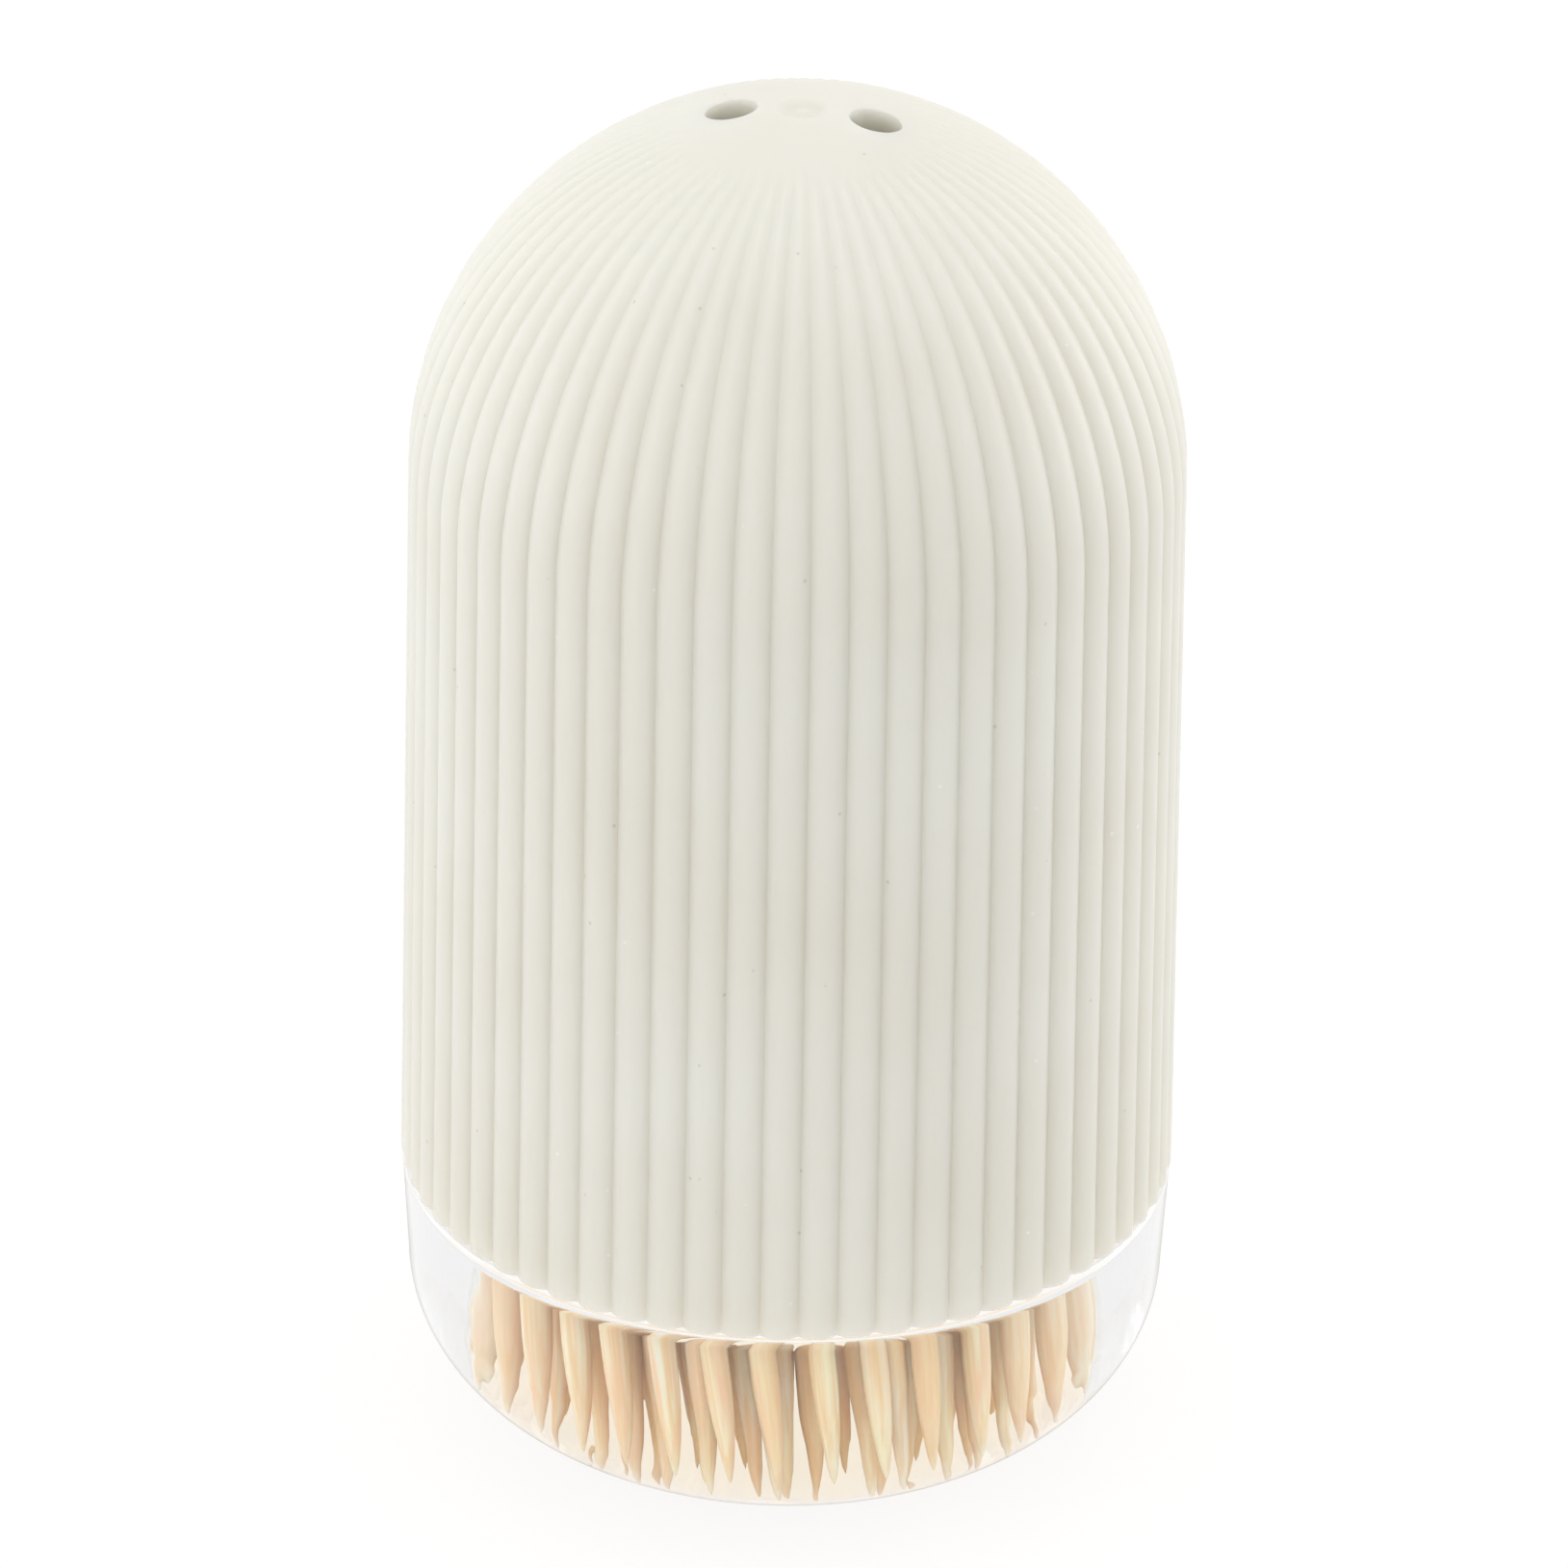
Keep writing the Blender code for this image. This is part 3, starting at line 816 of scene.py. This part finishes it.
def make_cap(material):
    """The cap as one closed skin: ceiling, bore, rim, ribbed outside, smooth top and both holes' walls."""
    inside = cap_inside_rows()
    outside = cap_outside_rows()
    rows = [*inside, *outside]
    counts = [len(row) for row in rows]
    points = [np.concatenate(rows)]
    faces = closed_rows(counts[: len(inside)])
    first_out = sum(counts[: len(inside)])
    faces += [part + first_out for part in closed_rows(counts[len(inside) :])]
    bore_rim = np.arange(first_out - BORE_COLUMNS, first_out)
    rib_rim = np.arange(first_out, first_out + counts[-1])
    faces += [part[:, ::-1] for part in between_rows(rib_rim, bore_rim)]
    total = sum(counts)
    edge_rows = []
    skins = ((outside[-1], total - counts[-1], top_height, 1), (inside[0], 0, ceiling_height, -1))
    for rim, rim_first, height_of, way in skins:
        plan, triangles = top_plan(rim[:, :2])
        fresh = plan[len(rim) :]
        points.append(np.column_stack([fresh, height_of(fresh)]))
        number = np.concatenate([rim_first + np.arange(len(rim)), total + np.arange(len(fresh))])
        faces.append(number[triangles][:, ::way])
        edge_rows.append([total + i * OUTLET_COLUMNS + np.arange(OUTLET_COLUMNS) for i in range(2)])
        total += len(fresh)
    for upper, lower in zip(*edge_rows):
        faces += between_rows(upper, lower)
    skin = np.concatenate(points)
    return make_piece("cap_shell", skin, faces, material, "cap", CAP_SHARP_DEG)


def base_profile():
    """The base's outline as (radius, height).

    It runs from the underside up the round bottom, shoulder and neck, then down the cavity to its floor.
    """
    steps = ROUND_BOTTOM_STEPS
    bottom = arc(LOWER_RADIUS - BOTTOM_RUN, BOTTOM_RISE, BOTTOM_RUN, BOTTOM_RISE, -90, 0, steps)
    curve_top = FLOOR_THICKNESS + CAVITY_RISE
    cavity = arc(CAVITY_RADIUS - CAVITY_RUN, curve_top, CAVITY_RUN, CAVITY_RISE, 0, -90, steps)
    edge, steps = SHOULDER_EDGE_ROUND, SHOULDER_EDGE_STEPS
    shoulder = arc(SHOULDER_RADIUS - edge, SHOULDER_HEIGHT - edge, edge, edge, 0, 90, steps)
    foot = np.array([[NECK_FOOT_RADIUS, SHOULDER_HEIGHT]])
    edge, steps = NECK_EDGE_ROUND, NECK_EDGE_STEPS
    outer = arc(NECK_TOP_RADIUS - edge, NECK_TOP_HEIGHT - edge, edge, edge, 0, 90, steps)
    inner = arc(MOUTH_RADIUS + edge, NECK_TOP_HEIGHT - edge, edge, edge, 90, 180, steps)
    return np.concatenate([bottom, shoulder, foot, outer, inner, cavity])


def make_base(material):
    """The base, turned about its axis and closed at the middle of its underside and of its floor."""
    profile = base_profile()
    angle = TURN * np.arange(BASE_COLUMNS) / BASE_COLUMNS
    radius = profile[:, :1]
    height = np.repeat(profile[:, 1:], BASE_COLUMNS, 1)
    rows = np.stack([radius * np.cos(angle), radius * np.sin(angle), height], 2).reshape(-1, 3)
    points = np.concatenate([[[0.0, 0.0, 0.0]], rows, [[0.0, 0.0, FLOOR_THICKNESS]]])
    faces = closed_rows([BASE_COLUMNS] * len(profile), True, True)
    return make_piece("base_body", points, faces, material, "base", BASE_SHARP_DEG)


def pick_surface(foot, head, sides, stations, shift):
    """One round toothpick between two tips: points, faces and the wood's own coordinates.

    Its radius is the full radius times a power of the sine of a quarter turn times the distance from the
    nearer tip over the taper's length. shift moves the wood's coordinates, so that no two sticks are alike.
    """
    length = np.linalg.norm(head - foot)
    direction = (head - foot) / length
    side = np.cross(direction, [0.0, 1.0, 0.0])
    side /= np.linalg.norm(side)
    front = np.cross(direction, side)
    near = np.asarray(stations) * PICK_TAPER
    distance = np.concatenate([near, length - near[::-1]])
    taper = np.clip(np.minimum(distance, length - distance) / PICK_TAPER, 0, 1)
    radius = PICK_RADIUS * np.sin(taper * math.pi / 2) ** PICK_TIP_POWER
    angle = TURN * np.arange(sides) / sides
    turned = np.stack([np.cos(angle), np.sin(angle)], 1)
    across = radius[:, None, None] * turned
    along = np.broadcast_to(distance[:, None, None], (len(distance), sides, 1))
    own = np.concatenate([across, along], 2)
    own = np.concatenate([[[0, 0, 0]], own.reshape(-1, 3), [[0, 0, length]]])
    points = foot + own @ np.array([side, front, direction])
    return points, closed_rows([sides] * len(distance), True, True), own + shift


FINE_SIDES = 14
FINE_STATIONS = (0.012, 0.04, 0.09, 0.16, 0.25, 0.36, 0.5, 0.66, 0.83, 1.0)
LOOSE_SIDES = 8
LOOSE_STATIONS = (0.04, 0.25, 1.0)


def node_ends(name):
    """The two tips of a toothpick's CAD solid: its lowest and its highest point."""
    mesh = frame["nodes"][name].data
    points = np.empty(len(mesh.vertices) * 3)
    mesh.vertices.foreach_get("co", points)
    points = points.reshape(-1, 3)
    return points[points[:, 2].argmin()], points[points[:, 2].argmax()]


def floor_height(radius):
    """Height of the cavity's floor at a distance from the axis: flat, then up along the round bottom."""
    along = np.clip((radius - CAVITY_RADIUS + CAVITY_RUN) / CAVITY_RUN, 0.0, 1.0)
    return FLOOR_THICKNESS + CAVITY_RISE * (1 - np.sqrt(1 - along**2))


def bore_room(height):
    """Radius that the closed cap leaves at a height: the tapered bore, then the round ceiling."""
    bore = BORE_RADIUS + (BORE_RIM_RADIUS - BORE_RADIUS) * (DOME_HEIGHT - height) / SKIRT_LENGTH
    ceiling = np.sqrt(np.maximum(BORE_RADIUS**2 - np.maximum(height - DOME_HEIGHT, 0.0) ** 2, 0.0))
    return np.where(height <= DOME_HEIGHT, bore, ceiling)


def nearest_gap(foot, head, feet, heads):
    """Least distance between one segment and each of many.

    It lies between the nearest points of the two lines, held within the segments and taken both ways. here
    and there are those points' shares of the way from foot to head, on the one and on the others.
    """
    way, ways = head - foot, heads - feet
    offset = foot - feet
    way_square, ways_square = way @ way, (ways * ways).sum(1)
    both = ways @ way
    offset_way, offset_ways = offset @ way, (ways * offset).sum(1)
    spread = np.maximum(way_square * ways_square - both * both, 1e-12)
    here = np.clip((both * offset_ways - offset_way * ways_square) / spread, 0, 1)
    there = np.clip((both * here + offset_ways) / ways_square, 0, 1)
    here = np.clip((both * there - offset_way) / way_square, 0, 1)
    return np.linalg.norm(offset + here[:, None] * way - there[:, None] * ways, axis=1)


def loose_places(feet, heads):
    """Tips of the loose toothpicks that fill the room between the ones that are there.

    Random places are tried. A place's lean follows the nearest toothpicks, with a little chance. It is kept
    if it clears the walls, the ways under the outlets and every toothpick so far.
    """
    chance = np.random.default_rng(SEED)
    feet, heads = list(feet), list(heads)
    given = len(feet)
    reach = CAVITY_RADIUS - PICK_RADIUS - CAVITY_WALL_GAP
    radius = reach * np.sqrt(chance.random(LOOSE_TRIES))
    angle = TURN * chance.random(LOOSE_TRIES)
    tries = np.stack([radius * np.cos(angle), radius * np.sin(angle)], 1)
    sway = chance.normal(0.0, LOOSE_SWAY, (len(tries), 2))
    leaning = given - 2
    guide_feet = np.array(feet[:leaning])[:, :2]
    guide_lean = (np.array(heads[:leaning]) - np.array(feet[:leaning]))[:, :2]
    for place, jitter in zip(tries, sway):
        if len(feet) - given >= LOOSE_PICKS:
            break
        away = np.linalg.norm(guide_feet - place, axis=1)
        weight = 1 / (away + 1 * MM) ** 3
        lean = (guide_lean * weight[:, None]).sum(0) / weight.sum() + jitter
        foot = np.array([*place, floor_height(np.hypot(*place)) + FLOOR_GAP])
        head = foot + np.array([*lean, math.sqrt(PICK_LENGTH**2 - lean @ lean)])
        if np.hypot(*head[:2]) > bore_room(head[2]) - PICK_RADIUS - BORE_GAP:
            continue
        middle = foot + (head - foot) * ((NECK_TOP_HEIGHT - foot[2]) / (head[2] - foot[2]))
        if np.hypot(*middle[:2]) > MOUTH_RADIUS - PICK_RADIUS - MOUTH_GAP or np.hypot(*place) > reach:
            continue
        gaps = nearest_gap(foot, head, np.array(feet), np.array(heads)) - 2 * PICK_RADIUS
        if gaps.min() < LOOSE_GAP or gaps[leaning:given].min() < OUTLET_WAY_GAP:
            continue
        feet.append(foot)
        heads.append(head)
    return feet[given:], heads[given:]


def make_picks(material):
    """A detailed toothpick in place of each CAD one, and one mesh of loose ones between them."""
    numbered = [name for name in frame["nodes"] if name.startswith("toothpick_") and name[-1].isdigit()]
    names = sorted(numbered) + ["toothpick_under_left_outlet", "toothpick_under_right_outlet"]
    bodies = frame["record"]["behaviour"]["bodies"]
    body_of = {node: body for body, nodes in bodies.items() for node in nodes}
    ends = [node_ends(name) for name in names]
    for i, (name, (foot, head)) in enumerate(zip(names, ends)):
        shift = GRAIN_SHIFT * (i + 1)
        points, faces, grain = pick_surface(foot, head, FINE_SIDES, FINE_STATIONS, shift)
        body = body_of[name]
        piece = make_piece(f"birch_{name}", points, faces, material, body, grain=grain)
        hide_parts(name)
    feet, heads = loose_places([e[0] for e in ends], [e[1] for e in ends])
    parts = []
    for i, (foot, head) in enumerate(zip(feet, heads)):
        shift = GRAIN_SHIFT * (i + FIRST_LOOSE_SHIFT)
        parts.append(pick_surface(foot, head, LOOSE_SIDES, LOOSE_STATIONS, shift))
    size = len(parts[0][0])
    faces = [part + i * size for i, (_, made, _) in enumerate(parts) for part in made]
    points = np.concatenate([part[0] for part in parts])
    grain = np.concatenate([part[2] for part in parts])
    make_piece("birch_toothpicks_loose", points, faces, material, "base", grain=grain)


# Camera, light and floor


def set_camera():
    """The camera looks from the front, raised by its elevation, and is rolled a little about its view."""
    elevation, roll = math.radians(CAMERA_ELEVATION_DEG), math.radians(CAMERA_ROLL_DEG)
    forward = np.array([0.0, math.cos(elevation), -math.sin(elevation)])
    right = np.array([1.0, 0.0, 0.0])
    up = np.cross(right, forward)
    across = math.cos(roll) * right + math.sin(roll) * up
    above = math.cos(roll) * up - math.sin(roll) * right
    place = np.array(CAMERA_TARGET) - CAMERA_DISTANCE * forward
    data = bpy.data.cameras.new("front_camera")
    data.sensor_width = SENSOR_WIDTH
    data.lens = CAMERA_LENS
    camera = bpy.data.objects.new("front_camera", data)
    turned = np.eye(4)
    turned[:3] = np.column_stack([across, above, -forward, place])
    camera.matrix_world = Matrix(turned.tolist())
    bpy.context.scene.collection.objects.link(camera)
    bpy.context.scene.camera = camera


def add_lamp(name, place, energy):
    """A square soft lamp that faces the middle of the object."""
    data = bpy.data.lights.new(name, "AREA")
    data.size = LAMP_SIZE
    data.energy = energy
    lamp = bpy.data.objects.new(name, data)
    lamp.location = place
    lamp.rotation_euler = (Vector(LAMP_AIM) - lamp.location).to_track_quat("-Z", "Y").to_euler()
    bpy.context.scene.collection.objects.link(lamp)


def set_stage():
    """White paper under the object and an even white room."""
    half = PAPER_HALF_WIDTH
    mesh = bpy.data.meshes.new("paper_floor")
    corners = [(x, y, PAPER_LEVEL) for x, y in ((-half, -half), (half, -half), (half, half), (-half, half))]
    mesh.from_pydata(corners, [], [(0, 1, 2, 3)])
    mesh.materials.append(white_sweep())
    floor = bpy.data.objects.new("paper_floor", mesh)
    bpy.context.scene.collection.objects.link(floor)
    world = bpy.data.worlds.new("white_room")
    world.use_nodes = True
    tree = world.node_tree
    tree.nodes.clear()
    ray = add_node(tree, "ShaderNodeLightPath")
    seen = add_node(
        tree,
        "ShaderNodeMath",
        {0: (ray, "Is Camera Ray"), 1: (ray, "Is Glossy Ray")},
        operation="MAXIMUM",
    )
    strength = add_node(
        tree,
        "ShaderNodeMapRange",
        {"Value": (seen, "Value")},
        {"From Min": 0.0, "From Max": 1.0, "To Min": ROOM_LIGHT, "To Max": ROOM_SEEN},
    )
    white = {"Color": (1.0, 1.0, 1.0, 1.0)}
    room = add_node(tree, "ShaderNodeBackground", {"Strength": (strength, "Result")}, white)
    add_node(tree, "ShaderNodeOutputWorld", {"Surface": (room, "Background")})
    bpy.context.scene.world = world


set_camera()
set_stage()
for lamp_name, lamp_place, lamp_energy in LAMPS:
    add_lamp(lamp_name, lamp_place, lamp_energy)
base_piece = make_base(moulded_clear_plastic())
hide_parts("base")
cap_piece = make_cap(moulded_satin_plastic())
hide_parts("cap")
make_picks(turned_birch())
bpy.context.scene.view_settings.view_transform = "Standard"
